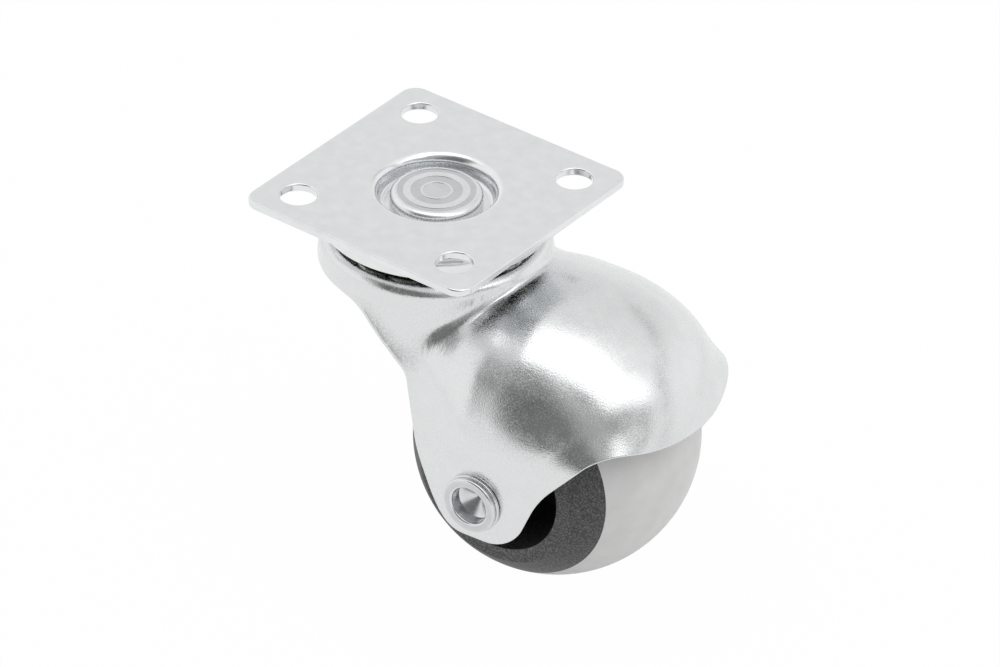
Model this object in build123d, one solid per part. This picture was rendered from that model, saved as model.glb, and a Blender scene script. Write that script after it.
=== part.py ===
from build123d import *
import math
import os

# Ball castor: a square top plate on a double ball race, a pressed steel hood
# that swivels under it, and a ball-shaped wheel on a tubular axle.
# Millimetres. The origin is the centre of the plate's top face, with +Z up.
# The wheel trails towards +X, and the hood stands turned a little about Z.

# Top plate
plate_side = 47.6
plate_sheet = 1.5
plate_corner = 3.0
plate_edge_round = 0.35
hole_pitch = 33.75
hole_diameter = 6.5
hole_edge_round = 0.3

# Dish pressed into the middle of the plate
dish_bend = 1.6
dish_floor_bend = 1.1
dish_wall = 0.9
dish_margin = 0.9

# Kingpin riveted through the dish
kingpin_radius = 5.0
kingpin_head_radius = 8.1
kingpin_head_sink = 0.7
kingpin_head_round = 1.2
kingpin_foot_radius = 7.4
kingpin_foot_height = 2.1
kingpin_foot_round = 0.9
ring_depth = 0.05
ring_bands = ((2.8, 4.5), (5.8, 6.8))
centre_disc_radius = 2.4
rivet_play = 0.05

# Upper race, an inverted cup under the plate
race_sheet = 1.2
race_radius = 20.2
race_shoulder = 2.3
race_lip_bottom = 5.8
race_land = 3.3
race_gap_to_bend = 0.3

# Balls, each as large as its row leaves room for
upper_ball_count = 15
upper_ball_gap = 0.404
lower_ball_count = 13
lower_ball_gap = 0.212
ball_play = 0.1
ball_lip_gap = 0.6

# Lower race, a cupped washer on the kingpin's foot
lower_race_sheet = 1.6
lower_race_gap = 0.6
lower_race_rim = 0.9
lower_race_rim_height = 3.7
lower_race_bend = 0.45
lower_groove_depth = 0.4

# Hood: head
hood_sheet = 1.25
head_overhang = 0.1
head_shoulder = 2.3
head_groove_depth = 1.0
head_bore_play = 0.6

# Hood: flare of the skirt below the head
flare_start = 8.3
flare_height = 7.8
flare_width = 4.3
flare_bend = 9.0

# Hood: arched cover over the wheel, measured from the wheel's centre
arch_half_width = 26.2
arch_spring = 8.0
arch_crown = 30.5
nose_reach = 28.7
nose_margin = 0.15

# Hood: side outline, measured from the wheel's centre
skirt_height = 5.3
skirt_run = 1.6
skirt_bend = 6.0
knee_x = 14.1
knee_z = 16.4
knee_bend = 5.5
leg_tip_radius = 7.9
leg_drop = 7.8
leg_rear = 8.7
leg_front = 9.6
front_bend_x = 11.6
front_bend_z = 2.6
front_bend = 20.0
hem_peak_x = 20.2
hem_peak_z = 14.0
hem_bend = 5.5
hem_nose_x = 31.0
hem_nose_z = 11.2

# Wheel
ball_radius = 25.0
trail = 25.7
axle_drop = 40.6
tread_edge_radius = 19.8
tread_thickness = 3.5
hub_face_radius = 15.2
hub_face_round = 0.6
recess_radius = 12.7
recess_round = 0.4
web_half_width = 4.0
boss_radius = 7.6

# Axle
axle_radius = 4.2
sleeve_wall = 1.0
sleeve_play = 0.05
wheel_play = 0.06
wheel_side_play = 0.3
washer_radius = 5.4
washer_thickness = 0.7
washer_round = 0.23
flange_radius = 5.2
flange_thickness = 0.95
flange_round = 0.4
axle_hole_radius = 3.45
axle_hole_depth = 2.4
drill_tip_angle = 118.0

# Swivel position of the hood about Z, in degrees
swivel_turn = 4.0


def ball_size(room, count, gap):
    """Diameter of count balls in a ring of outer radius room, with gap between them."""
    half_step = math.sin(math.pi / count)
    return (2 * room * half_step - gap) / (1 + half_step)


# Circles that follow from the sizes above
upper_ball_room = race_radius - race_sheet - ball_lip_gap
upper_ball_diameter = ball_size(upper_ball_room, upper_ball_count, upper_ball_gap)
upper_ball_circle = upper_ball_room - upper_ball_diameter / 2
lower_race_radius = upper_ball_circle - upper_ball_diameter / 2 - lower_race_gap
lower_ball_room = lower_race_radius - lower_race_rim - ball_play
lower_ball_diameter = ball_size(lower_ball_room, lower_ball_count, lower_ball_gap)
lower_ball_circle = lower_ball_room - lower_ball_diameter / 2
dish_mouth_radius = upper_ball_circle - race_land - race_gap_to_bend
head_radius = race_radius + head_overhang
hub_half_width = math.sqrt(ball_radius**2 - hub_face_radius**2)
tread_half_width = math.sqrt(ball_radius**2 - tread_edge_radius**2)

# Heights that follow from the sizes above
dish_depth = dish_bend + dish_wall + dish_floor_bend
dish_wall_radius = dish_mouth_radius - dish_bend
race_top = -plate_sheet
race_under = race_top - race_sheet
upper_ball_z = race_under - ball_play - upper_ball_diameter / 2
upper_groove = upper_ball_diameter / 2 + ball_play
head_top = upper_ball_z - upper_groove + head_groove_depth
web_under = head_top - hood_sheet
lower_ball_z = web_under - ball_play - lower_ball_diameter / 2
lower_groove = lower_ball_diameter / 2 + ball_play
lower_race_top = lower_ball_z - lower_groove + lower_groove_depth
lower_race_bottom = lower_race_top - lower_race_sheet
cheek_inside = arch_half_width - hood_sheet
sleeve_radius = axle_radius + sleeve_play + sleeve_wall
nose_centre = sleeve_radius + nose_margin


def outline(points, radii):
    """A closed outline with a rounding radius at each corner."""
    return make_face(FilletPolyline(*points, radius=radii, close=True))


def turned(points, radii):
    """A piece turned about Z from (radius, height) corners."""
    return revolve(Plane.XZ * outline(points, radii), Axis.Z)


def on_axle(piece):
    """Carries a piece turned about Z to the wheel's axis along Y."""
    return Pos(trail, 0, -axle_drop) * Rot(X=-90) * piece


def top_plate():
    flat = extrude(RectangleRounded(plate_side, plate_side, plate_corner), -plate_sheet)
    flat = fillet(flat.edges().filter_by(Plane.XY), plate_edge_round)
    joint = dish_mouth_radius + dish_margin
    flat -= Cylinder(joint, 3 * plate_sheet)
    hole = Cylinder(hole_diameter / 2, 3 * plate_sheet)
    flat -= GridLocations(hole_pitch, hole_pitch, 2, 2) * hole
    hole_rims = flat.edges().filter_by(GeomType.CIRCLE).filter_by(
        lambda rim: math.isclose(rim.radius, hole_diameter / 2)
    )
    flat = fillet(hole_rims, hole_edge_round)
    inner = kingpin_radius + rivet_play
    under = dish_depth + plate_sheet
    dish = turned(
        [
            (inner, -dish_depth),
            (dish_wall_radius, -dish_depth),
            (dish_wall_radius, 0),
            (joint, 0),
            (joint, -plate_sheet),
            (dish_wall_radius + plate_sheet, -plate_sheet),
            (dish_wall_radius + plate_sheet, -under),
            (inner, -under),
        ],
        [
            0,
            dish_floor_bend,
            dish_bend,
            0,
            0,
            dish_bend - plate_sheet,
            dish_floor_bend + plate_sheet,
            0,
        ],
    )
    return flat + dish


def kingpin():
    pin_top = -kingpin_head_sink
    foot_z = lower_race_bottom - kingpin_foot_height
    pin = turned(
        [
            (0, pin_top),
            (kingpin_head_radius, pin_top),
            (kingpin_head_radius, -dish_depth),
            (kingpin_radius, -dish_depth),
            (kingpin_radius, lower_race_bottom),
            (kingpin_foot_radius, lower_race_bottom),
            (kingpin_foot_radius, foot_z),
            (0, foot_z),
        ],
        [0, kingpin_head_round, 0, 0, 0, 0, kingpin_foot_round, 0],
    )
    sunk = Cylinder(centre_disc_radius, 2 * ring_depth)
    for inner, outer in ring_bands:
        sunk += Cylinder(outer, 2 * ring_depth) - Cylinder(inner, 2 * ring_depth)
    return pin - Pos(Z=pin_top) * sunk


def upper_race():
    inner = dish_mouth_radius + race_gap_to_bend
    lip_inner = race_radius - race_sheet
    return turned(
        [
            (inner, race_top),
            (race_radius, race_top),
            (race_radius, -race_lip_bottom),
            (lip_inner, -race_lip_bottom),
            (lip_inner, race_under),
            (inner, race_under),
        ],
        [0, race_shoulder, 0, 0, race_shoulder - race_sheet, 0],
    )


def lower_race():
    inner = kingpin_radius + rivet_play
    rim_inner = lower_race_radius - lower_race_rim
    rim_top = lower_race_bottom + lower_race_rim_height
    cup = turned(
        [
            (inner, lower_race_top),
            (rim_inner, lower_race_top),
            (rim_inner, rim_top),
            (lower_race_radius, rim_top),
            (lower_race_radius, lower_race_bottom),
            (inner, lower_race_bottom),
        ],
        [0, lower_race_bend, 0, 0, lower_race_bend + lower_race_rim, 0],
    )
    return cup - Pos(Z=lower_ball_z) * Torus(lower_ball_circle, lower_groove)


def ball_row(count, circle, diameter, height):
    """The balls that fill one race, each ball its own solid."""
    places = PolarLocations(circle, count)
    return [Pos(Z=height) * place * Sphere(diameter / 2) for place in places]


def bell(inset):
    """Head and flared skirt about the swivel axis; inset gives the inner skin."""
    slant = math.atan2(flare_width, flare_height)
    shift = inset * math.tan(slant / 2)
    head = head_radius - inset
    skirt = head + flare_width
    start = head_top - flare_start - shift
    foot = start - flare_height - flare_bend
    return turned(
        [
            (0, head_top - inset),
            (head, head_top - inset),
            (head, start),
            (skirt, start - flare_height),
            (skirt, foot),
            (0, foot),
        ],
        [0, head_shoulder - inset, flare_bend + inset, flare_bend - inset, 0, 0],
    )


def arch(inset):
    """Arched cover over the wheel: a tunnel behind and a rounded nose in front."""
    width = arch_half_width - inset
    rise = arch_crown - arch_spring - inset
    foot = -2 * leg_drop
    legs = Pos(Y=(arch_spring + foot) / 2) * Rectangle(2 * width, arch_spring - foot)
    section = Plane.YZ * (legs + Pos(Y=arch_spring) * Ellipse(width, rise))
    nose_x = trail + nose_centre
    tunnel = extrude(section, -nose_x)
    half = section & Pos(Y=width) * Box(1, 2 * width, 8 * width)
    depth = nose_reach - nose_centre - inset
    nose = scale(revolve(half, Axis.Z, -180), by=(depth / width, 1, 1))
    return Pos(nose_x, 0, -axle_drop) * (tunnel + nose)


def side_outline():
    """Side view of the hood, which trims its skirt, legs and hem."""
    rim = head_top - skirt_height
    tip = leg_tip_radius
    low = -axle_drop - leg_drop
    reach = head_radius + flare_width
    corners = [
        (-2 * reach, rim),
        (-skirt_run, rim),
        (trail - knee_x, -axle_drop + knee_z),
        (trail - leg_rear, low),
        (trail + leg_front, low),
        (trail + front_bend_x, -axle_drop + front_bend_z),
        (trail + hem_peak_x, -axle_drop + hem_peak_z),
        (trail + hem_nose_x, -axle_drop + hem_nose_z),
        (trail + hem_nose_x + reach, -axle_drop + hem_nose_z),
        (trail + hem_nose_x + reach, 0),
        (-2 * reach, 0),
    ]
    bends = [0, skirt_bend, knee_bend, tip, tip, front_bend, hem_bend, 0, 0, 0, 0]
    return Plane.XZ * outline(corners, bends)


def hood():
    groove = Pos(Z=upper_ball_z) * Torus(upper_ball_circle, upper_groove)
    swage = Pos(Z=upper_ball_z) * Torus(upper_ball_circle, upper_groove + hood_sheet)
    skin = bell(0) + arch(0) - groove
    hollow = bell(hood_sheet) + arch(hood_sheet) - swage
    shell = skin - hollow
    shell &= extrude(side_outline(), 2 * arch_half_width, both=True)
    shell -= Cylinder(kingpin_radius + head_bore_play, 4 * axle_drop)
    shell -= on_axle(Cylinder(axle_radius + rivet_play, 4 * arch_half_width))
    return shell


def tread():
    skin = Sphere(ball_radius) - Sphere(ball_radius - tread_thickness)
    return on_axle(skin & Cylinder(2 * ball_radius, 2 * tread_half_width))


def wheel_hub():
    ball = Sphere(ball_radius) & Cylinder(2 * ball_radius, 2 * hub_half_width)
    ball = fillet(ball.edges().filter_by(GeomType.CIRCLE), hub_face_round)
    seat = Cylinder(2 * ball_radius, 2 * tread_half_width)
    seat -= Sphere(ball_radius - tread_thickness)
    ball -= seat
    depth = hub_half_width - web_half_width
    boss_end = cheek_inside - wheel_side_play
    for side in (-1, 1):
        pocket = Cylinder(recess_radius, depth)
        ball -= Pos(Z=side * (web_half_width + depth / 2)) * pocket
    ball += Cylinder(boss_radius, 2 * boss_end)
    ball -= Cylinder(sleeve_radius + wheel_play, 4 * boss_end)
    return on_axle(ball)


def axle_sleeve():
    tube = Cylinder(sleeve_radius, 2 * cheek_inside)
    tube -= Cylinder(axle_radius + sleeve_play, 4 * cheek_inside)
    return on_axle(tube)


def axle_washer(side):
    ring = Cylinder(washer_radius, washer_thickness)
    ring = fillet(ring.edges().filter_by(GeomType.CIRCLE), washer_round)
    ring -= Cylinder(axle_radius + rivet_play, 2 * washer_thickness)
    return on_axle(Pos(Z=side * (arch_half_width + washer_thickness / 2)) * ring)


def axle_pin():
    """Pin with both ends drilled and rolled out over the washers."""
    seat = arch_half_width + washer_thickness
    end = seat + flange_thickness
    bottom = end - axle_hole_depth
    tip = axle_hole_radius / math.tan(math.radians(drill_tip_angle / 2))
    half = turned(
        [
            (0, 0),
            (axle_radius, 0),
            (axle_radius, seat),
            (flange_radius, seat),
            (flange_radius, end),
            (axle_hole_radius, end),
            (axle_hole_radius, bottom),
            (0, bottom - tip),
        ],
        [0, 0, 0, flange_round, flange_round, flange_round, 0, 0],
    )
    return on_axle(half + mirror(half, Plane.XY))


plate_pieces = {
    "top_plate": top_plate(),
    "upper_race": upper_race(),
    "kingpin": kingpin(),
    "lower_race": lower_race(),
}

hood_pieces = {
    "hood": hood(),
    "axle_pin": axle_pin(),
    "axle_sleeve": axle_sleeve(),
    "axle_washer_left": axle_washer(1),
    "axle_washer_right": axle_washer(-1),
    "wheel_hub": wheel_hub(),
    "wheel_tread": tread(),
}

upper_balls = ball_row(upper_ball_count, upper_ball_circle, upper_ball_diameter, upper_ball_z)
lower_balls = ball_row(lower_ball_count, lower_ball_circle, lower_ball_diameter, lower_ball_z)

# The hood and all that it carries stand turned about the swivel axis
pieces = dict(plate_pieces)
for name, piece in hood_pieces.items():
    pieces[name] = Rot(Z=swivel_turn) * piece
for number, ball in enumerate(upper_balls, start=1):
    pieces[f"upper_ball_{number:02d}"] = ball
for number, ball in enumerate(lower_balls, start=1):
    pieces[f"lower_ball_{number:02d}"] = ball

os.makedirs("parts", exist_ok=True)
for name, piece in pieces.items():
    export_step(piece, f"parts/{name}.step")
    print(name, round(piece.volume, 1))
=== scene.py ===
# %% [markdown]
# A ball castor in zinc-plated steel. The measured pieces come in as a fixed frame, in metres, with +Z up and
# the swivel axis through the origin. Everything made here is finish, light and camera around that frame.

# %% Load the castor
import math
import bpy
import numpy as np
from mathutils import Matrix, Vector


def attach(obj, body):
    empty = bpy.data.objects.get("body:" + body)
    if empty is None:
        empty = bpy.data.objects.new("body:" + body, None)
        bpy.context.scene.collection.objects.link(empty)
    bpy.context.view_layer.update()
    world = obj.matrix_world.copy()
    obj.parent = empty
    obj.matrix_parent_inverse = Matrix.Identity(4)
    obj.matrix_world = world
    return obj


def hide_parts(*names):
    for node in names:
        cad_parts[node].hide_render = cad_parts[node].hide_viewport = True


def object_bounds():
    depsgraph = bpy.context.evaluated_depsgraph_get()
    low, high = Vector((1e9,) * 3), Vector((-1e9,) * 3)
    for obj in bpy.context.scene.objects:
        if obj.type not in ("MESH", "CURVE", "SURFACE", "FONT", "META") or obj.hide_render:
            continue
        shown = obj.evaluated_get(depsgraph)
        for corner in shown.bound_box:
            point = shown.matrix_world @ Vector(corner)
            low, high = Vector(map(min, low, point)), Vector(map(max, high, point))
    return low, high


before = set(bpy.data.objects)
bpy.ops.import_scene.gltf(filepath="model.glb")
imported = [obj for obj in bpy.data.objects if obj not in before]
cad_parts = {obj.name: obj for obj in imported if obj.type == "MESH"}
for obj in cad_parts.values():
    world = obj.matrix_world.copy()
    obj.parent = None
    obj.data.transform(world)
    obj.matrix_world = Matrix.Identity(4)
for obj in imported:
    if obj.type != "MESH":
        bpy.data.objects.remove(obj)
cad_low, cad_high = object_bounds()
MM = 0.001
print("pieces in the frame:", len(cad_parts))

# %% [markdown]
# The photograph was taken with a long lens from well away, somewhat over a third of a right angle above the
# plate and turned to the right of the wheel's side. A long lens keeps the plate's edges nearly parallel. The
# camera is placed by those angles and by the point that it looks at, so that each number says one thing about
# the view.

# %% Camera
view_azimuth = math.radians(36.75)
view_elevation = math.radians(33.87)
view_roll = math.radians(1.20)
view_distance = 1200 * MM
view_centre = Vector((17.43, -4.35, -20.73)) * MM
lens_mm = 252.1

back = Vector((
    math.sin(view_azimuth) * math.cos(view_elevation),
    -math.cos(view_azimuth) * math.cos(view_elevation),
    math.sin(view_elevation),
))
right = (-back).cross(Vector((0, 0, 1))).normalized()
up = right.cross(-back)
axes = Matrix((right, up, back)).transposed().to_4x4() @ Matrix.Rotation(view_roll, 4, "Z")

camera_data = bpy.data.cameras.new("camera")
camera_data.lens = lens_mm
camera_data.sensor_width = 36.0
camera = bpy.data.objects.new("camera", camera_data)
camera.matrix_world = Matrix.Translation(view_centre + back * view_distance) @ axes
bpy.context.scene.collection.objects.link(camera)
bpy.context.scene.camera = camera
bpy.context.scene.view_settings.view_transform = "Standard"
print("camera stands", round(view_distance, 3), "m away")

# %% [markdown]
# Shaders are trees of small nodes. A few helpers keep the trees short to read: one adds a node with its
# settings and the values or links of its inputs, and others name the steps that come up again and again. A node
# group with named sockets works as a reusable finish effect: it is built once, and each material places it with
# its own numbers.

# %% Shader helpers
def add(tree, kind, inputs=None, **settings):
    """Adds a node; each input is a plain value or an output socket to link from."""
    node = tree.nodes.new("ShaderNode" + kind)
    for name, value in settings.items():
        setattr(node, name, value)
    for name, value in (inputs or {}).items():
        if isinstance(value, bpy.types.NodeSocket):
            tree.links.new(value, node.inputs[name])
        else:
            node.inputs[name].default_value = value
    return node


def new_group(name, inputs, outputs):
    """An empty shader group; inputs are (name, default), outputs are names of value sockets."""
    group = bpy.data.node_groups.new(name, "ShaderNodeTree")
    for label, value in inputs:
        socket = group.interface.new_socket(name=label, in_out="INPUT", socket_type="NodeSocketFloat")
        socket.default_value = value
    for label in outputs:
        group.interface.new_socket(name=label, in_out="OUTPUT", socket_type="NodeSocketFloat")
    return group, group.nodes.new("NodeGroupInput"), group.nodes.new("NodeGroupOutput")


def place(tree, group, **values):
    """Places a group in a tree; underscores in the value names stand for spaces."""
    node = tree.nodes.new("ShaderNodeGroup")
    node.node_tree = group
    for name, value in values.items():
        node.inputs[name.replace("_", " ")].default_value = value
    return node


def times(tree, a, b):
    """The product of two values."""
    return add(tree, "Math", {0: a, 1: b}, operation="MULTIPLY").outputs[0]


def dot(tree, a, b):
    """How far one direction goes along another."""
    return add(tree, "VectorMath", {0: a, 1: b}, operation="DOT_PRODUCT").outputs["Value"]


def blend(tree, share, a, b):
    """A value that goes from a to b as the share goes from 0 to 1."""
    return add(tree, "Mix", {0: share, 2: a, 3: b}, data_type="FLOAT").outputs[0]


def blend_colour(tree, share, a, b, blend_type="MIX"):
    """The same for colours; MULTIPLY tints a with b instead."""
    return add(tree, "Mix", {0: share, 6: a, 7: b}, data_type="RGBA", blend_type=blend_type).outputs[2]


def spread(tree, value, low, high, to_low=0.0, to_high=1.0):
    """The range from low to high spread over another one, and held at its ends."""
    ends = {"From Min": low, "From Max": high, "To Min": to_low, "To Max": to_high}
    return add(tree, "MapRange", {"Value": value, **ends}).outputs[0]


def soft_edge(tree, value, outer, inner):
    """A share that rises softly from 0 at the outer value to 1 at the inner one."""
    ends = {"From Min": outer, "From Max": inner}
    return add(tree, "MapRange", {"Value": value, **ends}, interpolation_type="SMOOTHSTEP").outputs[0]


def noise(tree, at, scale, detail, **more):
    """Fractal noise round a half, with scale in waves per unit of the place."""
    return add(tree, "TexNoise", {"Vector": at, "Scale": scale, "Detail": detail, **more}).outputs[0]


def on_piece(tree):
    """A point's place on its own piece, in metres."""
    return add(tree, "TexCoord").outputs["Object"]


def in_millimetres(tree, place_in_metres):
    """The same place in millimetres."""
    return add(tree, "VectorMath", {0: place_in_metres, "Scale": 1 / MM}, operation="SCALE").outputs[0]


print("shader helpers ready; one millimetre is", MM, "m")

# %% [markdown]
# The background is white paper. Rays from the camera see it as pure white, and every other ray sees a soft
# studio: a bright room with a long lamp that runs overhead from right to left, and the dark side of the room
# where the photographer stands. Plated steel has no colour of its own to speak of, so this room is what shows
# on it.
#
# Directions are degrees round from the camera and degrees up. Each patch is a name, its middle, the angles out
# to its inner and outer edge, and its light. Each band is a name, its two ends, half its width, its soft edge
# and its light.

# %% Studio room
def towards(azimuth, elevation):
    """A direction, from degrees round from the camera and degrees up."""
    turn = view_azimuth + math.radians(azimuth)
    level = math.radians(elevation)
    return Vector((math.sin(turn) * math.cos(level), -math.cos(turn) * math.cos(level), math.sin(level)))


def patch(tree, direction, centre, inner, outer):
    """A soft round patch of the room: 1 within the inner angle of a direction, 0 beyond the outer one."""
    closeness = dot(tree, direction, towards(*centre))
    return soft_edge(tree, closeness, math.cos(math.radians(outer)), math.cos(math.radians(inner)))


def long_band(tree, direction, start, end, half_width, soft):
    """A long band of the room from one direction to another: 1 on the band, 0 beyond its soft edge."""
    start, end = towards(*start), towards(*end)
    centre = (start + end).normalized()
    along = (start - end).normalized()
    half_length = math.degrees(start.angle(end)) / 2
    share = add(tree, "Math", {0: dot(tree, direction, centre), 1: 0}, operation="GREATER_THAN").outputs[0]
    for axis, half in ((along, half_length), (centre.cross(along), half_width)):
        off = add(tree, "Math", {0: dot(tree, direction, axis)}, operation="ABSOLUTE").outputs[0]
        edge = soft_edge(tree, off, math.sin(math.radians(half + soft)), math.sin(math.radians(half - soft)))
        share = times(tree, share, edge)
    return share


room_light = 1.0
light_below = 0.92
horizon = (-0.08, 0.01)
world = bpy.data.worlds.new("studio")
bpy.context.scene.world = world
world.use_nodes = True
tree = world.node_tree
tree.nodes.clear()
direction = add(tree, "TexCoord").outputs["Generated"]
patches = [
    ("grey back wall", (165, 40), 20, 45, 0.86),
    ("dim front of the room", (0, 26), 24, 50, 0.45),
    ("upper dark side", (-54, 46), 10, 26, 0.3),
    ("dark side", (-34, 26), 12, 32, 0.15),
    ("dark middle", (-18, 14), 8, 30, 0.2),
    ("dark end of the band", (36, 24), 4, 14, 0.42),
    ("dark corner", (57, 20), 4, 13, 0.5),
    ("light over the ceiling", (10, 84), 8, 22, 1.2),
    ("low end of the lamp", (66, 38), 6, 13, 1.5),
    ("small lamp", (-112, 54), 2, 4, 1.8),
]
bands = [
    ("lamp", (48, 39), (-110, 66), 14, 4, 1.8),
    ("edge of the back wall", (156, 32), (90, 31), 2.5, 2, 0.55),
    ("edge of the side wall", (90, 32), (73, -2), 2.5, 2, 0.55),
]
level = room_light
for _, centre, inner, outer, strength in patches:
    level = blend(tree, patch(tree, direction, centre, inner, outer), level, strength)
for _, start, end, half_width, soft, strength in bands:
    level = blend(tree, long_band(tree, direction, start, end, half_width, soft), level, strength)
above = soft_edge(tree, dot(tree, direction, (0, 0, 1)), *horizon)
level = blend(tree, above, light_below, level)
rays = add(tree, "LightPath")
room = add(tree, "Background", {"Strength": level})
paper = add(tree, "Background", {"Strength": 1.0})
for shader in (room, paper):
    shader.inputs["Color"].default_value = (1, 1, 1, 1)
seen = add(tree, "MixShader", {0: rays.outputs["Is Camera Ray"], 1: room.outputs[0], 2: paper.outputs[0]})
add(tree, "OutputWorld", {"Surface": seen.outputs[0]})
print("room patches:", len(patches) + len(bands))

# %% [markdown]
# The floor is the same white paper, just under the wheel. It stays a real surface, so that it keeps a soft
# shadow and throws light back up on the metal. Most of it glows for the camera, and in the metal, to hold the
# white.

# %% Floor
floor_gap = 0.2 * MM
floor_drop = cad_low.z - floor_gap
floor_half = 0.25
paper_white = 0.9
paper_glow = 0.98
paper_glow_in_metal = 0.8

floor_mesh = bpy.data.meshes.new("floor")
corners = [(x * floor_half, y * floor_half, floor_drop) for x, y in ((-1, -1), (1, -1), (1, 1), (-1, 1))]
floor_mesh.from_pydata(corners, [], [(0, 1, 2, 3)])
floor = bpy.data.objects.new("floor", floor_mesh)
bpy.context.scene.collection.objects.link(floor)

floor_paint = bpy.data.materials.new("white_paper")
floor_paint.use_nodes = True
tree = floor_paint.node_tree
tree.nodes.clear()
rays = add(tree, "LightPath")
matt = add(tree, "BsdfDiffuse", {"Color": (paper_white, paper_white, paper_white, 1)})
glow = add(tree, "Emission", {"Color": (1, 1, 1, 1), "Strength": 1.0})
share = times(tree, rays.outputs["Is Glossy Ray"], paper_glow_in_metal)
share = blend(tree, rays.outputs["Is Camera Ray"], share, paper_glow)
paper = add(tree, "MixShader", {0: share, 1: matt.outputs[0], 2: glow.outputs[0]})
add(tree, "OutputMaterial", {"Surface": paper.outputs[0]})
floor_mesh.materials.append(floor_paint)
print("floor at", round(floor_drop / MM, 1), "mm")

# %% [markdown]
# The hood is the piece that took the most skill to make: one sheet of steel, pressed into a round head, a
# flared neck and an arched cover that close over the wheel in curves that turn two ways at once. Its skin is
# rebuilt here as the meeting of two smooth bodies, so that the crease between neck and cover can run out
# softly, and the hem can turn outwards a little, as the press leaves it. All of it is in millimetres until the
# mesh is made, with the hood straight ahead along +X.
#
# Each body is a function that is negative inside and zero on the skin. The crease is the smooth union of the
# two: tight in front of the neck and a little wider towards the back, where the cheeks draw in and take over.

# %% Hood: the pressed skin as a function
head_radius = 20.3
head_top = -7.9
head_shoulder = 2.3
flare_start = head_top - 3.0
flare_height = 12.0
flare_width = 0.8
flare_bend = 2.0
trail = 25.7
axle_drop = 40.6
arch_half_width = 26.2
arch_spring = 8.0
arch_crown = 30.5
nose_centre = 0.8
nose_fullness = 2.15
shoulder_square = 1.2
shoulder_square_from = 18.0
shoulder_square_run = 14.0
cheek_taper = 6.2
cheek_taper_from = 23.0
cheek_taper_run = 16.0
nose_reach = 28.7
cover_back = -5.0
groove_circle = 15.4
groove_radius = 3.1
groove_z = head_top + 2.1
groove_edge = 0.5
top_margin = 1.0
crease_tight = 1.2
crease_wide = 2.0
crease_opens = (16.0, 6.0)


def smooth(t):
    """Runs from 0 to 1 with soft ends."""
    t = np.clip(t, 0, 1)
    return t * t * (3 - 2 * t)


def joined(a, b, width):
    """The lesser of two distances, rounded over where they meet."""
    near = np.maximum(width - np.abs(a - b), 0) / width
    return np.minimum(a, b) - near * near * width / 4


def bell(p):
    """Head and flared neck, round the swivel axis."""
    spread = smooth((flare_start + flare_bend / 2 - p[..., 2]) / (flare_height + flare_bend))
    out = np.hypot(p[..., 0], p[..., 1]) - head_radius - flare_width * spread
    over = p[..., 2] - head_top
    corner = np.hypot(np.maximum(out + head_shoulder, 0), np.maximum(over + head_shoulder, 0))
    return corner + np.minimum(np.maximum(out, over) + head_shoulder, 0) - head_shoulder


def cover(p):
    """Arched cover over the wheel, with a round nose and with cheeks that draw in towards the head."""
    x = np.maximum(p[..., 0] - trail - nose_centre, 0) / (nose_reach - nose_centre)
    inward = smooth((cheek_taper_from - p[..., 0]) / cheek_taper_run)
    y = p[..., 1] / (arch_half_width - cheek_taper * inward)
    z = np.maximum(p[..., 2] + axle_drop - arch_spring, 0) / (arch_crown - arch_spring)
    square = 2 + shoulder_square * smooth((shoulder_square_from - p[..., 0]) / shoulder_square_run)
    section = (np.abs(y) ** square + z**square) ** (1 / square)
    reach = (x**nose_fullness + section**nose_fullness) ** (1 / nose_fullness)
    mean_radius = (nose_reach - nose_centre + arch_half_width + arch_crown - arch_spring) / 3
    return np.maximum((reach - 1) * mean_radius, cover_back - p[..., 0])


def skin(p):
    """The whole pressed skin: both bodies, joined with a crease that opens towards the back."""
    opening = smooth((crease_opens[0] - p[..., 0]) / (crease_opens[0] - crease_opens[1]))
    return joined(bell(p), cover(p), crease_tight + (crease_wide - crease_tight) * opening)


def onto_skin(inside, outside, steps=34):
    """The points where the skin crosses between two sets of points, by halving."""
    a, b = inside.copy(), outside.copy()
    for _ in range(steps):
        middle = (a + b) / 2
        is_in = (skin(middle) < 0)[..., None]
        a, b = np.where(is_in, middle, a), np.where(is_in, b, middle)
    return (a + b) / 2


def outward(p, step=0.01):
    """Unit normals of the skin, from how the function grows."""
    shifts = np.eye(3) * step
    grow = np.stack([skin(p + s) - skin(p - s) for s in shifts], -1)
    return grow / np.maximum(np.linalg.norm(grow, axis=-1), 1e-12)[..., None]


def spaced(curve, count, weight=None):
    """The same curve with count points, closer together where the weight is high."""
    run = np.linalg.norm(np.diff(curve, axis=0), axis=1)
    if weight is not None:
        run = run * (weight[1:] + weight[:-1]) / 2
    along = np.concatenate([[0], np.cumsum(run)])
    wanted = np.linspace(0, along[-1], count)
    return np.stack([np.interp(wanted, along, curve[:, k]) for k in range(3)], 1)


print("skin at the crown:", round(float(skin(np.array([trail, 0, arch_crown - axle_drop]))), 3))

# %% [markdown]
# The hem is drawn in the side view as straight runs joined by arcs, and carried across to the skin. Ribs then
# run from points of the hem up to points of the middle line, spread so that no rib ever crosses the next: the
# two lists of shares say which part of the hem goes with which part of the middle line. Each rib is cast out
# onto the skin from an eye inside the hood, which falls from the head towards the nose. A rib has more points
# where it bends, so the shoulder and the crease stay crisp.

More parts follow.
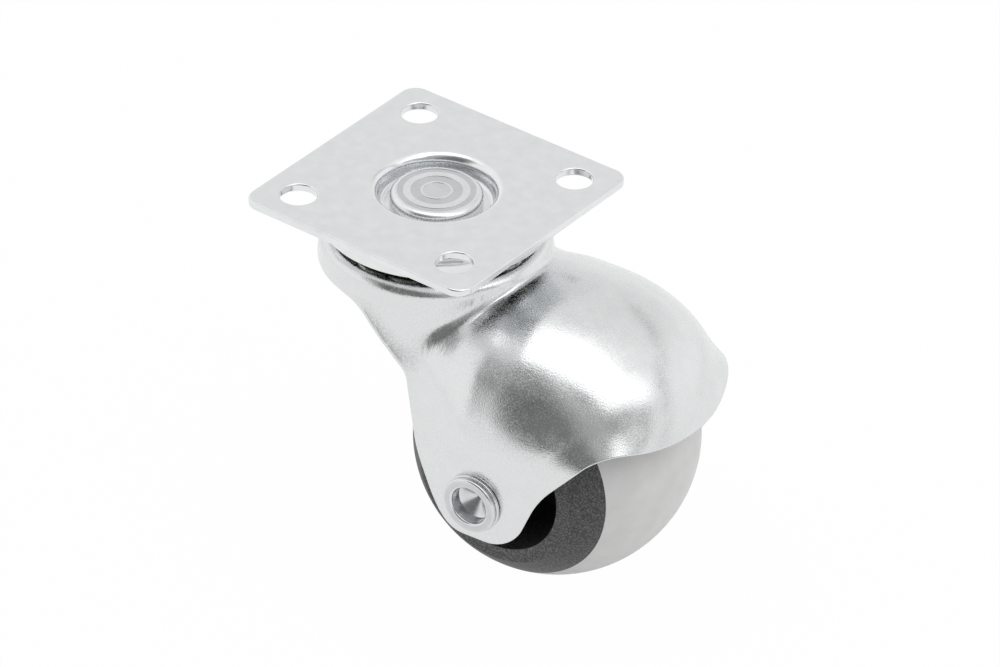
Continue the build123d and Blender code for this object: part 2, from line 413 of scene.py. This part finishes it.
# %% Hood: hem and ribs
hem_step = 0.05
hem_corners = [
    ((-22.0, 27.4), 0),
    ((-2.0, 27.4), 6.0),
    ((trail - 17.8, 16.4), 5.0),
    ((trail - 13.5, -7.3), 14.4),
    ((trail + 7.3, -7.3), 7.0),
    ((trail + 11.6, 3.6), 18.0),
    ((trail + 20.4, 13.9), 6.0),
    ((trail + 31.0, 11.3), 0),
]
hem_corners = [((x, z - axle_drop), radius) for (x, z), radius in hem_corners]
past_ends = 5.0
stations = 220
rib_rows = 90
rib_samples = 420
ray_length = 80.0
line_centre = np.array([10.0, 0, -24.0])
bend_crowding = 5.0
bend_limit = 0.8
hem_share = [0, 0.06, 0.2, 0.33, 0.69, 1]
line_share = [0, 0.075, 0.33, 0.47, 0.66, 1]
eye_ends = (-8.0, 30.0)
eye_height = -14.0
eye_falls = [(0.0, 10.0, 6.0), (14.0, 14.0, 10.0)]


def rounded(corners):
    """Points along straight runs joined by arcs, a step apart."""
    points = [np.array(corners[0][0])]
    for (before, _), (corner, radius), (after, _) in zip(corners, corners[1:], corners[2:]):
        a, c, b = np.array(before), np.array(corner), np.array(after)
        a = (a - c) / np.linalg.norm(a - c)
        b = (b - c) / np.linalg.norm(b - c)
        half = math.acos(a @ b) / 2
        inward = (a + b) / np.linalg.norm(a + b)
        centre = c + inward * radius / math.sin(half)
        reach = radius / math.tan(half)
        start = math.atan2(*(c + a * reach - centre)[::-1])
        end = math.atan2(*(c + b * reach - centre)[::-1])
        sweep = (end - start + math.pi) % (2 * math.pi) - math.pi
        for angle in start + sweep * np.linspace(0, 1, max(2, int(abs(sweep) * radius / hem_step))):
            points.append(centre + radius * np.array([math.cos(angle), math.sin(angle)]))
    points.append(np.array(corners[-1][0]))
    line = [points[0]]
    for point in points[1:]:
        pieces = max(1, int(np.linalg.norm(point - line[-1]) / hem_step))
        line.extend(line[-1] + (point - line[-1]) * k / pieces for k in range(1, pieces + 1))
    return np.array(line)


def hem_points(count):
    """The hem on the skin, along one side from the middle of the back to the middle of the nose."""
    line = rounded(hem_corners)
    middle = np.stack([line[:, 0], 0 * line[:, 0], line[:, 1]], 1)
    middle = middle[skin(middle) < 0]
    side = onto_skin(middle, middle + [0, 2 * arch_half_width, 0])
    back_end = onto_skin(middle[:1], middle[:1] - [past_ends, 0, 0])
    front_end = onto_skin(middle[-1:], middle[-1:] + [past_ends, 0, 0])
    hem = np.concatenate([back_end, side, front_end])
    hem[[0, -1], 1] = 0
    return spaced(hem, count)


def middle_line(samples=1600):
    """The skin's middle line, from the back hem over the head and down to the nose hem."""
    first = math.atan2(hem_corners[0][0][1] - line_centre[2], -head_radius - line_centre[0])
    last = math.atan2(hem_corners[-1][0][1] - line_centre[2], trail + nose_reach - line_centre[0])
    angle = np.linspace(first, last, samples)
    ray = np.stack([np.cos(angle), 0 * angle, np.sin(angle)], -1)
    return onto_skin(np.broadcast_to(line_centre, ray.shape), line_centre + ray_length * ray)


def evened(values, width):
    """Values smoothed along their first axis."""
    bell_curve = np.exp(-0.5 * (np.arange(-3 * width, 3 * width + 1) / width) ** 2)
    pad = [(3 * width, 3 * width)] + [(0, 0)] * (values.ndim - 1)
    padded = np.pad(values, pad, mode="reflect", reflect_type="odd")
    return sum(w * padded[k:k + len(values)] for k, w in enumerate(bell_curve / bell_curve.sum()))


def press_groove(p):
    """The ball groove, pressed down into the head's flat top."""
    across = np.hypot(p[..., 0], p[..., 1]) - groove_circle
    bottom = groove_z - np.sqrt(np.maximum(groove_radius**2 - across**2, 0))
    bottom = np.where(np.abs(across) < groove_radius, bottom, 0)
    on_top = (across < groove_radius) & (p[..., 2] > head_top - top_margin)
    pressed = p.copy()
    pressed[..., 2] = np.where(on_top, joined(p[..., 2], bottom, groove_edge), p[..., 2])
    return pressed


def bend_weight(curve):
    """High where a rib bends."""
    step = np.diff(curve, axis=0)
    length = np.maximum(np.linalg.norm(step, axis=1), 1e-6)[:, None]
    turn = np.linalg.norm(np.diff(step / length, axis=0), axis=1) / length[1:, 0]
    turn = evened(np.concatenate([turn[:1], turn, turn[-1:]]), 3)
    return 1 + bend_crowding * np.clip(turn, 0, bend_limit)


hem = hem_points(stations)
line = middle_line()
line_run = np.concatenate([[0], np.cumsum(np.linalg.norm(np.diff(line, axis=0), axis=1))])
share = evened(np.interp(np.linspace(0, 1, stations), hem_share, line_share), 6)
share[[0, -1]] = 0, 1
tops = np.stack([np.interp(share * line_run[-1], line_run, line[:, k]) for k in range(3)], 1)

eye_x = np.clip(tops[:, 0], *eye_ends)
eye_z = eye_height
for start, run, fall in eye_falls:
    eye_z = eye_z - fall * smooth((eye_x - start) / run)
eyes = np.stack([eye_x, 0 * eye_x, eye_z], -1)
low_ray = (hem - eyes) / np.linalg.norm(hem - eyes, axis=1)[:, None]
high_ray = (tops - eyes) / np.linalg.norm(tops - eyes, axis=1)[:, None]
angle = np.maximum(np.arccos(np.clip((low_ray * high_ray).sum(1), -1, 1)), 1e-6)[:, None, None]
t = np.linspace(0, 1, rib_samples)[None, :, None]
rays = (np.sin((1 - t) * angle) * low_ray[:, None] + np.sin(t * angle) * high_ray[:, None]) / np.sin(angle)
ribs = onto_skin(np.broadcast_to(eyes[:, None], rays.shape), eyes[:, None] + ray_length * rays)
ribs[:, 0] = hem
for end in (0, -1):
    ribs[end] = hem[end] + (tops[end] - hem[end]) * t[0]
ribs = press_groove(ribs)
weights = np.stack([bend_weight(rib) for rib in ribs[1:-1]])
weights = evened(np.concatenate([weights[:1], weights, weights[-1:]]), 2)
half = np.stack([spaced(rib, rib_rows + 1, np.maximum(w, 1)) for rib, w in zip(ribs, weights)])
half[:, -1, 1] = 0
outer = np.concatenate([half, half[:, -2::-1] * [1, -1, 1]], 1)
print("hood grid:", outer.shape[:2])

# %% [markdown]
# Pressing leaves the hem turned out: by a good millimetre round the nose, less at its tip, and less again
# along the slanting cut behind the cheek. The lift dies away within a few millimetres of the hem, so it is
# measured by how far a point lies from the hem in the side view.

# %% Hood: turned-out hem
nose_lip = 1.25
nose_lip_reach = 4.6
nose_lip_from = 37.5
nose_lip_run = 9.0
tip_from = 48.5
tip_run = 5.0
tip_loss = 0.6
rear_lip = 0.7
rear_lip_reach = 3.6
rear_lip_from = -8.0
rear_lip_to = 14.0
rear_lip_run = 8.0
lip_curve = 1.8


def beside_hem(p):
    """Distance from the hem in the side view, and the x of the nearest hem point."""
    flat = p[..., [0, 2]]
    nearest = np.full(p.shape[:-1], 1e9)
    at_x = np.zeros(p.shape[:-1])
    for a, b in zip(hem[:-1, [0, 2]], hem[1:, [0, 2]]):
        run = b - a
        u = np.clip(((flat - a) @ run) / (run @ run), 0, 1)
        far = np.linalg.norm(flat - a - u[..., None] * run, axis=-1)
        at_x = np.where(far < nearest, a[0] + u * run[0], at_x)
        nearest = np.minimum(far, nearest)
    return nearest, at_x


normals = outward(outer)
far, at_x = beside_hem(outer)
nose_share = smooth((at_x - nose_lip_from) / nose_lip_run)
nose_share = nose_share * (1 - tip_loss * smooth((at_x - tip_from) / tip_run))
nose_lift = nose_lip * nose_share * np.clip(1 - far / nose_lip_reach, 0, 1) ** lip_curve
rear_share = smooth((rear_lip_to - at_x) / rear_lip_run) * smooth((at_x - rear_lip_from) / rear_lip_run)
rear_lift = rear_lip * rear_share * np.clip(1 - far / rear_lip_reach, 0, 1) ** lip_curve
outer = outer + normals * (nose_lift + rear_lift)[..., None]
print("lips up to", round(float((nose_lift + rear_lift).max()), 2), "mm")

# %% [markdown]
# The sheet gets its thickness, a sheared edge with softened corners along the hem, the bore in the head for the
# kingpin and the holes in the legs for the axle pin. The finished skin then turns with the hood's swivel and
# stands for the measured hood, which stays in the model for contact.

# %% Hood: sheet, cut edge and holes
hood_sheet = 1.25
edge_bulge = 0.2
edge_steps = 5
edge_squareness = 0.6
bore_radius = 5.6
pin_radius = 4.2
swivel_turn = math.radians(4.0)

columns, rows = outer.shape[:2]
index = np.arange(columns * rows).reshape(columns, rows)
index[0, :] = index[0, 0]
index[-1, :] = index[-1, 0]
top = outer.reshape(-1, 3)
under = (outer - normals * hood_sheet).reshape(-1, 3)
quads = np.stack([index[:-1, :-1], index[1:, :-1], index[1:, 1:], index[:-1, 1:]], -1).reshape(-1, 4)
in_head = (np.hypot(top[:, 0], top[:, 1]) < bore_radius) & (top[:, 2] > head_top - top_margin)
in_leg = np.hypot(top[:, 0] - trail, top[:, 2] + axle_drop) < pin_radius
in_bore = in_head | in_leg
quads = quads[~in_bore[quads].all(1)]
for side in (top, under):
    for axes, centre, inside, radius in (
        ([0, 1], (0, 0), in_head, bore_radius),
        ([0, 2], (trail, -axle_drop), in_leg, pin_radius),
    ):
        off = side[:, axes] - centre
        grow = radius / np.maximum(np.linalg.norm(off, axis=1), 1e-6)
        side[:, axes] = centre + off * np.where(inside, grow, 1)[:, None]

loop = np.concatenate([index[:, 0], index[-2:0:-1, -1]])
loop_normals = normals.reshape(-1, 3)[loop]
along_hem = np.roll(top[loop], -1, axis=0) - np.roll(top[loop], 1, axis=0)
off_edge = np.cross(along_hem, loop_normals)
off_edge /= np.linalg.norm(off_edge, axis=1)[:, None]
off_edge *= -np.sign((off_edge * (top[index[columns // 2, rows // 2]] - top[loop])).sum(1))[:, None]
edge_rows = []
for k in range(1, edge_steps):
    turn = math.pi * k / edge_steps
    level = math.copysign(abs(math.cos(turn)) ** edge_squareness, math.cos(turn))
    bulge = math.sin(turn) ** edge_squareness * edge_bulge
    edge_rows.append(top[loop] + loop_normals * hood_sheet * (level - 1) / 2 + off_edge * bulge)
count = len(top)
edge_loops = [loop]
for k in range(edge_steps - 1):
    edge_loops.append(2 * count + k * len(loop) + np.arange(len(loop)))
edge_loops.append(loop + count)
edge_quads = [
    np.stack([a, b, np.roll(b, -1), np.roll(a, -1)], -1) for a, b in zip(edge_loops[:-1], edge_loops[1:])
]

sides = np.concatenate([quads[:, [k, (k + 1) % 4]] for k in range(4)])
sides = sides[sides[:, 0] != sides[:, 1]]
name_of_side = sides.min(1) * count + sides.max(1)
_, first, uses = np.unique(name_of_side, return_index=True, return_counts=True)
rim = sides[first[uses == 1]]
rim = rim[in_bore[rim].all(1)]
bore_quads = np.stack([rim[:, 1], rim[:, 0], rim[:, 0] + count, rim[:, 1] + count], -1)

faces = []
for quad in np.concatenate([quads, (quads + count)[:, ::-1], *edge_quads, bore_quads]).tolist():
    face = [v for k, v in enumerate(quad) if v != quad[k - 1]]
    if len(face) > 2:
        faces.append(face)
turn = np.array([
    [math.cos(swivel_turn), math.sin(swivel_turn), 0],
    [-math.sin(swivel_turn), math.cos(swivel_turn), 0],
    [0, 0, 1],
])
points = np.concatenate([top, under, *edge_rows]) @ turn * MM
hood_mesh = bpy.data.meshes.new("hood_skin")
hood_mesh.from_pydata(points.tolist(), [], faces)
hood_mesh.update()
hood_mesh.shade_smooth()
hood_skin = bpy.data.objects.new("hood_skin", hood_mesh)
bpy.context.scene.collection.objects.link(hood_skin)
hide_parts("hood")
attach(hood_skin, "fork")
print("hood skin:", len(faces), "faces")

# %% [markdown]
# Bright zinc plate is never a clean mirror. It has a fine grain that scatters a reflection's edges into specks,
# and larger faint clouds where the bath left the deposit thicker. Both come from noise in the piece's own
# coordinates, so the grain stays on the metal when a part turns. The group gives values only: the cloud as a
# tone for the colour, a roughness, and a height for the bump.

# %% Zinc grain group
rough_from = 0.4
rough_to = 0.62
grain_in_rough = 0.65
grain_in_tone = 0.25

zinc_grain, grain_in, grain_out = new_group(
    "zinc_grain",
    [("Grain per mm", 3.6), ("Cloud per mm", 0.35), ("Rough low", 0.11), ("Rough high", 0.34)],
    ["Tone", "Roughness", "Height"],
)
tree = zinc_grain
spot = in_millimetres(tree, on_piece(tree))
chosen = grain_in.outputs
grain = noise(tree, spot, chosen["Grain per mm"], 2.0, Roughness=0.6)
cloud = noise(tree, spot, chosen["Cloud per mm"], 4.0, Roughness=0.55)
speck = blend(tree, grain_in_rough, cloud, grain)
rough = spread(tree, speck, rough_from, rough_to, chosen["Rough low"], chosen["Rough high"])
tone = blend(tree, grain_in_tone, cloud, grain)
for name, socket in (("Tone", tone), ("Roughness", rough), ("Height", grain)):
    tree.links.new(socket, grain_out.inputs[name])
print("group:", zinc_grain.name)

# %% [markdown]
# Some marks go round with the tool that made them: the coined rings on the kingpin's head, and the turned faces
# of the axle and the hub. The same distances also place painted shade in the axle pin's hole, round its flange
# and in the hub's recess. One function makes a group for each axis, which gives how far a point lies from it in
# millimetres.

# %% Distance groups
def around(name, centre, axis):
    """A group that gives the distance from an axis, in millimetres."""
    group, _, out = new_group(name, [], ["Radius"])
    from_centre = add(group, "VectorMath", {0: on_piece(group), 1: centre}, operation="SUBTRACT").outputs[0]
    spot = in_millimetres(group, from_centre)
    on_axis = add(group, "VectorMath", {0: axis, "Scale": dot(group, spot, axis)}, operation="SCALE").outputs[0]
    off_axis = add(group, "VectorMath", {0: spot, 1: on_axis}, operation="SUBTRACT").outputs[0]
    radius = add(group, "VectorMath", {0: off_axis}, operation="LENGTH").outputs["Value"]
    group.links.new(radius, out.inputs["Radius"])
    return group


axle_centre = Vector((trail * math.cos(swivel_turn), trail * math.sin(swivel_turn), -axle_drop)) * MM
axle_axis = Vector((-math.sin(swivel_turn), math.cos(swivel_turn), 0))
around_kingpin = around("around_kingpin", (0, 0, 0), (0, 0, 1))
around_axle = around("around_axle", axle_centre, axle_axis)
print("axle centre:", [round(v / MM, 2) for v in axle_centre])

# %% [markdown]
# The press drew the neck down out of the flat sheet, and its die left fine upright scores there. They are noise
# that is squeezed to thin lines across the neck and long in Z. Three soft edges keep them to the back of the
# hood, under the head. Each is an axis, the place where the scores end and the place where they are full.

# %% Drawn streaks
streaks_across = 1.7
streaks_along = 0.07
streaks_share = 0.85
streaks_depth = 2.5
streaks_edges = [("X", 20.0, 13.0), ("Z", -11.0, -14.0), ("Z", -34.0, -26.0)]

drawn_streaks, _, streaks_out = new_group("drawn_streaks", [], ["Where", "Height"])
tree = drawn_streaks
spot = in_millimetres(tree, on_piece(tree))
squeeze = (streaks_across, streaks_across, streaks_along)
squeezed = add(tree, "VectorMath", {0: spot, 1: squeeze}, operation="MULTIPLY").outputs[0]
height = times(tree, noise(tree, squeezed, 1.0, 3.0, Roughness=0.6), streaks_depth)
ways = add(tree, "SeparateXYZ", {0: spot}).outputs
where = streaks_share
for way, outer_edge, inner_edge in streaks_edges:
    where = times(tree, where, soft_edge(tree, ways[way], outer_edge, inner_edge))
tree.links.new(where, streaks_out.inputs["Where"])
tree.links.new(height, streaks_out.inputs["Height"])
print("group:", drawn_streaks.name)

# %% [markdown]
# Four zinc finishes share one function, from the soft grey of the hood to the brighter plate. The turned ones
# take bands too: a list of distances from the axis, each with the share of light that the metal keeps there. On
# the axle, the darker bands are painted shade in the pin's hole and round the flange's rim.

# %% Zinc materials
tone_from = 0.35
tone_to = 0.65
rings_per_mm = 5.0
rings_share = 0.5
bands_end = 10.0


def new_material(name):
    """A material with its tree and its principled shader."""
    paint = bpy.data.materials.new(name)
    paint.use_nodes = True
    return paint, paint.node_tree, paint.node_tree.nodes["Principled BSDF"]


def steps(tree, value, top, stops):
    """A stepped value along a range from 0 to top, from (place, level) stops."""
    ramp = add(tree, "ValToRGB", {0: spread(tree, value, 0.0, top)})
    elements = ramp.color_ramp.elements
    elements[0].position, elements[-1].position = stops[0][0] / top, stops[-1][0] / top
    for place_at, _ in stops[1:-1]:
        elements.new(place_at / top)
    for element, (_, level) in zip(elements, stops):
        element.color = (level, level, level, 1)
    return ramp.outputs[0]


def zinc(name, dark, light, grain_height, turned=None, bands=(), drawn=False, **grain_values):
    """Zinc-plated steel: a tone between two greys, with grain, and with rings or streaks in the bump."""
    paint, tree, shader = new_material(name)
    shader.inputs["Metallic"].default_value = 1.0
    skin = place(tree, zinc_grain, **grain_values)
    tone = spread(tree, skin.outputs["Tone"], tone_from, tone_to)
    colour = blend_colour(tree, tone, (*dark, 1), (*light, 1))
    height = skin.outputs["Height"]
    if turned:
        radius = place(tree, turned).outputs["Radius"]
        waves = {"W": radius, "Scale": rings_per_mm, "Detail": 3.0}
        rings = add(tree, "TexNoise", waves, noise_dimensions="1D").outputs[0]
        height = blend(tree, rings_share, height, rings)
        colour = blend_colour(tree, 1.0, colour, steps(tree, radius, bands_end, bands), "MULTIPLY")
    if drawn:
        streaks = place(tree, drawn_streaks).outputs
        height = blend(tree, streaks["Where"], height, streaks["Height"])
    bump = add(tree, "Bump", {"Height": height, "Distance": grain_height * MM, "Strength": 1.0})
    tree.links.new(colour, shader.inputs["Base Color"])
    tree.links.new(skin.outputs["Roughness"], shader.inputs["Roughness"])
    tree.links.new(bump.outputs[0], shader.inputs["Normal"])
    return paint


zinc_hood = zinc("zinc_hood", (0.735, 0.75, 0.755), (0.79, 0.80, 0.805), 0.022, drawn=True)
zinc_plate = zinc(
    "zinc_plate", (0.78, 0.79, 0.80), (0.84, 0.85, 0.855), 0.008,
    Rough_low=0.14, Rough_high=0.22,
)
head_bands = [
    (0.0, 0.86), (2.35, 0.86), (2.45, 1.0), (2.75, 1.0), (2.85, 0.78), (4.45, 0.78),
    (4.55, 1.0), (5.75, 1.0), (5.85, 0.77), (6.75, 0.77), (6.95, 1.0), (10.0, 1.0),
]
zinc_head = zinc(
    "zinc_head", (0.76, 0.77, 0.78), (0.84, 0.85, 0.855), 0.006, around_kingpin, head_bands,
    Rough_low=0.22, Rough_high=0.32,
)
# The axle's tone by distance from its axis; the darker bands in the pin's hole and round the flange's rim are
# painted shade.
axle_tones_and_painted_shade = [
    (0.0, 0.88), (2.6, 0.88), (3.3, 0.98), (3.75, 0.98), (3.95, 0.80), (4.7, 0.84), (5.0, 0.95), (10.0, 0.95),
]
zinc_axle = zinc(
    "zinc_axle", (0.70, 0.71, 0.72), (0.80, 0.81, 0.82), 0.008, around_axle, axle_tones_and_painted_shade,
    Rough_low=0.16, Rough_high=0.26,
)
print("zinc finishes:", [paint.name for paint in (zinc_hood, zinc_plate, zinc_head, zinc_axle)])

# %% [markdown]
# The wheel is a ball of two plastics. The dark hub is moulded with a fine sparkle outside and a lighter ring
# round the mouth of the recess; the deep recess itself is painted near-black, as painted shade. The light tread
# is matt and soft, with a faint mottle.

# %% Wheel materials
ball_radius = 25.0
# The hub's tone by distance from the axle; the near-black band inside 12.6 mm is painted shade in the recess.
hub_tones_and_painted_recess_shade = [(0.0, 0.012), (12.6, 0.012), (12.8, 0.085), (15.1, 0.075), (15.5, 0.055), (ball_radius, 0.06)]
sparkle_per_mm = 3.0
sparkle_from = 0.4
sparkle_to = 0.7
sparkle_dimmest = 0.5
sparkle_brightest = 2.4
hub_grain_height = 0.03
mottle_per_mm = 0.25
mottle_from = 0.3
mottle_to = 0.7
tread_grain_per_mm = 2.5
tread_grain_height = 0.01
tread_dark = (0.67, 0.67, 0.665, 1)
tread_light = (0.73, 0.73, 0.725, 1)

hub_plastic, tree, shader = new_material("hub_plastic")
radius = place(tree, around_axle).outputs["Radius"]
sparkle = noise(tree, on_piece(tree), sparkle_per_mm / MM, 2.0)
speck = spread(tree, sparkle, sparkle_from, sparkle_to, sparkle_dimmest, sparkle_brightest)
# These bands darken the recess to near-black as painted shade.
tint = blend_colour(tree, 1.0, steps(tree, radius, ball_radius, hub_tones_and_painted_recess_shade), speck, "MULTIPLY")
bump = add(tree, "Bump", {"Height": sparkle, "Distance": hub_grain_height * MM, "Strength": 1.0})
tree.links.new(tint, shader.inputs["Base Color"])
tree.links.new(bump.outputs[0], shader.inputs["Normal"])
shader.inputs["Roughness"].default_value = 0.5

tread_rubber, tree, shader = new_material("tread_rubber")
spot = on_piece(tree)
mottle = noise(tree, spot, mottle_per_mm / MM, 5.0)
grain = noise(tree, spot, tread_grain_per_mm / MM, 2.0)
tint = blend_colour(tree, spread(tree, mottle, mottle_from, mottle_to), tread_dark, tread_light)
bump = add(tree, "Bump", {"Height": grain, "Distance": tread_grain_height * MM, "Strength": 1.0})
tree.links.new(tint, shader.inputs["Base Color"])
tree.links.new(bump.outputs[0], shader.inputs["Normal"])
shader.inputs["Roughness"].default_value = 0.55
print("wheel finishes:", [paint.name for paint in (hub_plastic, tread_rubber)])

# %% [markdown]
# The races are packed with grease, a dull olive brown that lies over most of each ball and lets bare steel
# show in patches.

# %% Greased balls
smear_per_mm = 0.35
smear_height = 0.15
grease_ends = 0.50
steel_begins = 0.60
grease = (0.11, 0.12, 0.09, 1)
bare_steel = (0.55, 0.56, 0.52, 1)
grease_rough = 0.45
steel_rough = 0.2

bearing_steel, tree, shader = new_material("bearing_steel")
smear = noise(tree, on_piece(tree), smear_per_mm / MM, 4.0, Distortion=1.0)
bare = spread(tree, smear, grease_ends, steel_begins)
rough = spread(tree, smear, grease_ends, steel_begins, grease_rough, steel_rough)
bump = add(tree, "Bump", {"Height": smear, "Distance": smear_height * MM, "Strength": 1.0})
tree.links.new(blend_colour(tree, bare, grease, bare_steel), shader.inputs["Base Color"])
tree.links.new(bare, shader.inputs["Metallic"])
tree.links.new(rough, shader.inputs["Roughness"])
tree.links.new(bump.outputs[0], shader.inputs["Normal"])
print("ball finish:", bearing_steel.name)

# %% Finish on the measured pieces
finishes = {
    "top_plate": zinc_plate, "upper_race": zinc_plate, "lower_race": zinc_plate,
    "kingpin": zinc_head, "axle_pin": zinc_axle, "axle_sleeve": zinc_axle,
    "axle_washer_left": zinc_axle, "axle_washer_right": zinc_axle,
    "hood": zinc_hood, "wheel_hub": hub_plastic, "wheel_tread": tread_rubber,
}
for name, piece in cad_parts.items():
    piece.data.materials.clear()
    piece.data.materials.append(finishes.get(name, bearing_steel))
hood_mesh.materials.append(zinc_hood)
print("finished pieces:", len(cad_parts) + 1)
